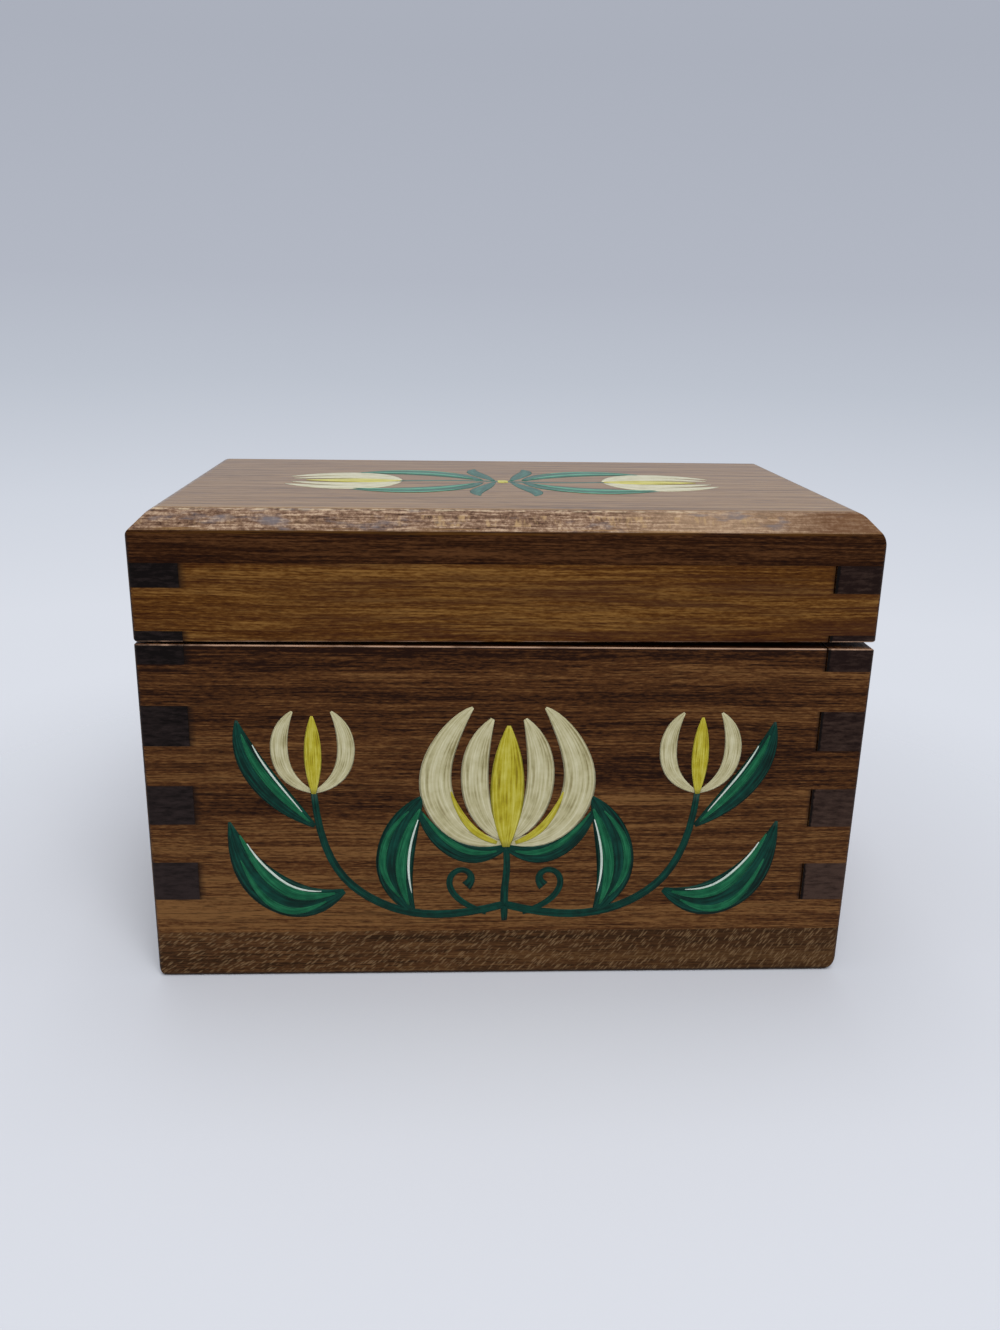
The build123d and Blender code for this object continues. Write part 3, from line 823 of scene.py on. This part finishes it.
# Each stroke has its path, its widths along it, how far it lies above the wood, and whether it is
# mirrored too. A path is measured from the middle of the painting. It starts where the brush was set
# down and ends where it left.
front_spray = {
    "teal": [
        ([(0, -9), (0.6, -14), (-0.4, -19), (0, -24), (0, -27)], [1.4, 1.5, 1.6, 1.9, 1.2], 0.0, False),
        ([(0, -23), (-14, -27), (-30, -24), (-40, -12), (-41, 4)],
         [1.9, 2.0, 2.0, 1.7, 1.4], 0.0, True),
        ([(-4, -25), (-10, -23), (-14, -17), (-9, -13), (-6.5, -16.5), (-8.5, -18.5)],
         [1.2, 1.5, 1.4, 1.3, 1.4, 2.6], 0.0, True),
        ([(-35, -19.5), (-41, -23), (-50, -22), (-57, -13), (-59, -3)],
         [1.2, 7.5, 10.5, 7, 0.6], 0.0, True),
        ([(-20, -25), (-24, -19), (-25, -10), (-21, -1), (-18, 3)], [1.2, 7.5, 9.5, 6, 0.6], 0.0, True),
        ([(-41, -4), (-46, 0), (-53, 7), (-56, 15), (-56.5, 20)], [1.0, 5, 7, 4.5, 0.5], 0.0, True),
        ([(0, -9), (-5, -11.5), (-11, -11), (-17, -5), (-19.5, 1)],
         [1.4, 4.5, 4.5, 3.2, 0.5], 0.0, True),
    ],
    "green": [
        ([(-37, -20), (-43, -21.5), (-49, -19.5), (-54, -13), (-57, -6)],
         [0.5, 2.4, 3.2, 2.2, 0.4], 0.101, True),
        ([(-39, -22), (-44, -25), (-50, -24.5), (-54.5, -19), (-57, -12)],
         [0.4, 1.6, 2.2, 1.4, 0.3], 0.082, True),
        ([(-21, -23), (-23, -18), (-23, -10), (-20, -3), (-18.6, 0)],
         [0.5, 2.2, 3.0, 2.0, 0.4], 0.095, True),
        ([(-23, -21), (-26.5, -17), (-27.5, -10), (-24.5, -4), (-21, -0.5)],
         [0.4, 1.4, 1.9, 1.3, 0.3], 0.076, True),
        ([(-42, -3), (-46, 1), (-51.5, 7), (-54.5, 13), (-55.6, 17)],
         [0.4, 1.7, 2.3, 1.5, 0.3], 0.069, True),
        ([(-2, -10), (-6, -11), (-11, -9.5), (-15.5, -5), (-18, -1)],
         [0.4, 1.4, 1.7, 1.2, 0.3], 0.044, True),
    ],
    "white": [
        ([(-40, -19.5), (-45, -19.6), (-50, -16), (-54, -11), (-55.5, -8)],
         [0.2, 0.5, 0.6, 0.5, 0.2], 0.126, True),
        ([(-20.4, -20), (-21.2, -16), (-21.2, -10), (-19.8, -5), (-19, -2.5)],
         [0.2, 0.5, 0.6, 0.4, 0.2], 0.113, True),
        ([(-43.6, -0.6), (-46.5, 3.4), (-50, 8), (-52.6, 12.6), (-53.4, 14.6)],
         [0.2, 0.4, 0.5, 0.4, 0.2], 0.088, True),
    ],
    "cream": [
        ([(-0.6, -8), (-8, -8), (-15, -1), (-16.5, 11), (-10, 21), (-7.6, 23)],
         [1.2, 4.6, 7.4, 7.0, 3.4, 0.6], 0.0, True),
        ([(-1, -7), (-5.5, -3), (-8.2, 7), (-6.2, 16), (-3.4, 20.5)],
         [1.4, 5.2, 6.6, 5.2, 0.9], 0.032, True),
        ([(-41.4, 4), (-46, 6), (-49, 12), (-47.5, 19), (-45, 22)],
         [0.8, 3.0, 4.2, 3.4, 0.5], 0.0, True),
        ([(-40.6, 4), (-36, 6), (-33, 12), (-34.5, 19), (-37, 22)],
         [0.8, 3.0, 4.2, 3.4, 0.5], 0.0, True),
    ],
    "yellow": [
        ([(0, -9), (0, -3), (0, 6), (0, 14), (0, 19)], [1.6, 6.6, 8.4, 5.4, 0.8], 0.05, False),
        ([(-2, -8), (-6, -6.5), (-9.5, -2.5), (-11.5, 2), (-12, 4)],
         [0.8, 1.9, 1.6, 0.9, 0.3], 0.076, True),
        ([(-41, 3.5), (-41, 8), (-41, 13), (-41, 18), (-41, 21)],
         [1.0, 3.4, 4.2, 2.8, 0.5], 0.032, True),
    ],
}
spray_height = 40.5
front_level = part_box("base_front_wall")[0][1]
front_sheet = ((0, front_level, spray_height * mm), (math.radians(90), 0, 0))
paints = {"teal": teal, "green": green, "white": white, "cream": cream, "yellow": yellow}
slots = {
    "teal": "green_paint", "green": "green_paint", "white": "cream_paint", "cream": "cream_paint",
    "yellow": "yellow_paint",
}
for colour, strokes in front_spray.items():
    painting(f"front_{colour}_strokes", strokes, paints[colour], slots[colour], "base", *front_sheet)


# The painted garland on the lid
# Two tulips that lie head outward, tied stem to stem, with almond leaves between them. It is painted
# by hand on the flat of the lid inside its bevel, stroke by stroke like the front.
lid_garland = {
    "teal": [
        ([(-24, 0), (-16, 1.2), (-8, 1.4), (0, 0), (8, -1.4), (16, -1.2), (24, 0)],
         [1.4, 1.6, 1.8, 2.0, 1.8, 1.6, 1.4], 0.0, False),
        ([(-5, 1.5), (-9, 9), (-18, 15), (-29, 15), (-36, 12.5)], [1.2, 7.0, 9.0, 6.0, 0.6], 0.0, True),
        ([(-5, -1.5), (-9, -9), (-18, -15), (-29, -15), (-36, -12.5)],
         [1.2, 7.0, 9.0, 6.0, 0.6], 0.0, True),
        ([(-2, 1), (-4, 8), (-6.5, 14), (-7, 19), (-6, 22)], [0.8, 3.4, 4.2, 2.6, 0.4], 0.0, True),
        ([(-2, -1), (-4, -8), (-6.5, -14), (-7, -19), (-6, -22)], [0.8, 3.4, 4.2, 2.6, 0.4], 0.0, True),
    ],
    "green": [
        ([(-7, 4), (-12, 10), (-19, 13.6), (-28, 14), (-34, 12.6)],
         [0.5, 2.2, 2.8, 2.0, 0.4], 0.088, True),
        ([(-7, -4), (-12, -10), (-19, -13.6), (-28, -14), (-34, -12.6)],
         [0.5, 2.2, 2.8, 2.0, 0.4], 0.088, True),
        ([(-10, 12), (-15, 16.4), (-21, 18), (-27, 17.4), (-32, 15)],
         [0.3, 1.4, 1.8, 1.2, 0.3], 0.069, True),
        ([(-10, -12), (-15, -16.4), (-21, -18), (-27, -17.4), (-32, -15)],
         [0.3, 1.4, 1.8, 1.2, 0.3], 0.069, True),
    ],
    "cream": [
        ([(-24, 0.6), (-27, 8), (-35, 13), (-45, 9), (-50, 6)], [1.2, 5.0, 7.0, 4.2, 0.6], 0.013, True),
        ([(-24, -0.6), (-27, -8), (-35, -13), (-45, -9), (-50, -6)],
         [1.2, 5.0, 7.0, 4.2, 0.6], 0.013, True),
        ([(-25, 1), (-29, 5), (-36, 6.6), (-44, 4.5), (-49, 2.6)],
         [1.2, 4.6, 5.8, 3.8, 0.6], 0.032, True),
        ([(-25, -1), (-29, -5), (-36, -6.6), (-44, -4.5), (-49, -2.6)],
         [1.2, 4.6, 5.8, 3.8, 0.6], 0.032, True),
    ],
    "yellow": [
        ([(-24, 0), (-28, 0), (-34, 0), (-41, 0), (-46, 0)], [1.4, 5.6, 7.2, 4.4, 0.7], 0.05, True),
        ([(-1.2, 0), (-0.6, 0), (0, 0), (0.6, 0), (1.2, 0)], [3.6, 4.4, 4.8, 4.4, 3.6], 0.032, False),
    ],
}
# The paints here are paler copies of the front's: painted light that stands in for the stronger light
# on the lid's flat from above
lit_lid_paints = {
    "teal": brushed_paint("brushed_paint_teal_lit", "#1d4a3c", "#2c5e4e", "#4a8270"),
    "green": brushed_paint("brushed_paint_green_lit", "#3d7a62", "#4f9a78", "#7cbd9c"),
    "cream": brushed_paint("brushed_paint_cream_lit", "#a89e72", "#d3ceac", "#e8e5cc"),
    "yellow": brushed_paint("brushed_paint_yellow_lit", "#a08f2a", "#cfc64a", "#e2da86"),
}
lid_sheet = ((0, 0, lid_top * mm), (0, -lid_tilt, 0))
for colour, strokes in lid_garland.items():
    painting(f"lid_{colour}_strokes", strokes, lit_lid_paints[colour], slots[colour], "lid", *lid_sheet)


# The floor and backdrop
# Pale paper that sweeps up behind the box, from blue-white on the floor to a blue grey, and so shows
# no edge. The floor's disc fades out into the backdrop's own colour.
floor_radius = 0.8
fade_start = 0.085
fade_end = 0.235
bpy.ops.object.select_all(action="DESELECT")
bpy.ops.mesh.primitive_circle_add(
    vertices=96, radius=floor_radius, fill_type="TRIFAN", location=(0, 0, 0),
)
floor = bpy.context.object
floor.name = "floor"
paper = bpy.data.materials.new("matt_paper")
paper.use_nodes = True
tree = paper.node_tree
shader = tree.nodes["Principled BSDF"]
shader.inputs["Base Color"].default_value = linear("#dcdfe7")
shader.inputs["Roughness"].default_value = 0.8
shader.inputs["Specular IOR Level"].default_value = 0.1
place = add(tree, "ShaderNodeTexCoord")
distance = add(tree, "ShaderNodeVectorMath", {0: place.outputs["Object"]}, operation="LENGTH")
fade = add(tree, "ShaderNodeMapRange", {
    "Value": distance.outputs["Value"], "From Min": fade_start, "From Max": fade_end,
}, interpolation_type="SMOOTHSTEP")
clear = add(tree, "ShaderNodeBsdfTransparent")
mixed = add(tree, "ShaderNodeMixShader", {
    0: fade.outputs[0], 1: shader.outputs[0], 2: clear.outputs[0],
})
tree.links.new(mixed.outputs[0], tree.nodes["Material Output"].inputs["Surface"])
floor.data.materials.append(paper)

sky_strength = 0.4
world = bpy.data.worlds.new("studio")
bpy.context.scene.world = world
world.use_nodes = True
tree = world.node_tree
direction = add(tree, "ShaderNodeTexCoord")
height = add(tree, "ShaderNodeSeparateXYZ", {0: direction.outputs["Generated"]})
sweep = add(tree, "ShaderNodeMapRange", {"Value": height.outputs[2], "From Min": -0.3, "From Max": 0.2})
backdrop = add(tree, "ShaderNodeValToRGB", {"Fac": sweep.outputs[0]}, stops=[
    (0.0, "#dbdfe8"), (0.12, "#dadee7"), (0.3, "#d0d5df"),
    (0.5, "#bdc3ce"), (0.66, "#b3b8c4"), (1.0, "#abb0bc"),
])
# The camera, mirrors and glass see the backdrop, and all else is lit by an even sky
seen = add(tree, "ShaderNodeLightPath")
sky_light = add(tree, "ShaderNodeBackground", {"Color": linear("#f6f7fa"), "Strength": sky_strength})
shown = add(tree, "ShaderNodeBackground", {"Color": backdrop.outputs[0], "Strength": 1.0})
either = add(tree, "ShaderNodeMath", {
    0: seen.outputs["Is Camera Ray"], 1: seen.outputs["Is Glossy Ray"],
}, operation="MAXIMUM")
either = add(tree, "ShaderNodeMath", {
    0: either.outputs[0], 1: seen.outputs["Is Transmission Ray"],
}, operation="MAXIMUM")
sky = add(tree, "ShaderNodeMixShader", {
    0: either.outputs[0], 1: sky_light.outputs[0], 2: shown.outputs[0],
})
tree.links.new(sky.outputs[0], tree.nodes["World Output"].inputs["Surface"])


# The lamps
# A square soft box in front of the table and over it lights the front, and a weaker one a little behind
# the box makes its soft shadow fall forward.
aim = Vector((0, 0, 0.05))
soft_boxes = {
    "front_soft_box": ((0.08, -0.62, 0.8), 0.6, 6.4),
    "top_soft_box": ((-0.04, 0.22, 1.0), 0.4, 1.5),
}
for name, (lamp_place, lamp_size, watts) in soft_boxes.items():
    bpy.ops.object.light_add(type="AREA", location=lamp_place)
    lamp = bpy.context.object
    lamp.name = name
    lamp.data.shape = "SQUARE"
    lamp.data.size = lamp_size
    lamp.data.energy = watts
    lamp.rotation_euler = (aim - Vector(lamp_place)).to_track_quat("-Z", "Y").to_euler()


# The camera
# It stands where the photograph was taken from, close to the box and a little above it. Its place, turn
# and lens were worked out from the corners of the box.
camera_place = Vector((-14.6, -261.0, 140.55)) * mm
looks_down = 17.35
turned_right = 3.28
rolled = 1.31
sensor = 36.0
lens = 29.91
bpy.ops.object.camera_add()
camera = bpy.context.object
camera.name = "camera"
camera.data.sensor_width = sensor
camera.data.lens = lens
camera.data.clip_start = 0.01
turn = Matrix.Rotation(math.radians(-turned_right), 4, "Z")
turn = turn @ Matrix.Rotation(math.radians(90 - looks_down), 4, "X")
turn = turn @ Matrix.Rotation(math.radians(rolled), 4, "Z")
camera.matrix_world = Matrix.Translation(camera_place) @ turn
bpy.context.scene.camera = camera
bpy.context.scene.view_settings.view_transform = "Standard"
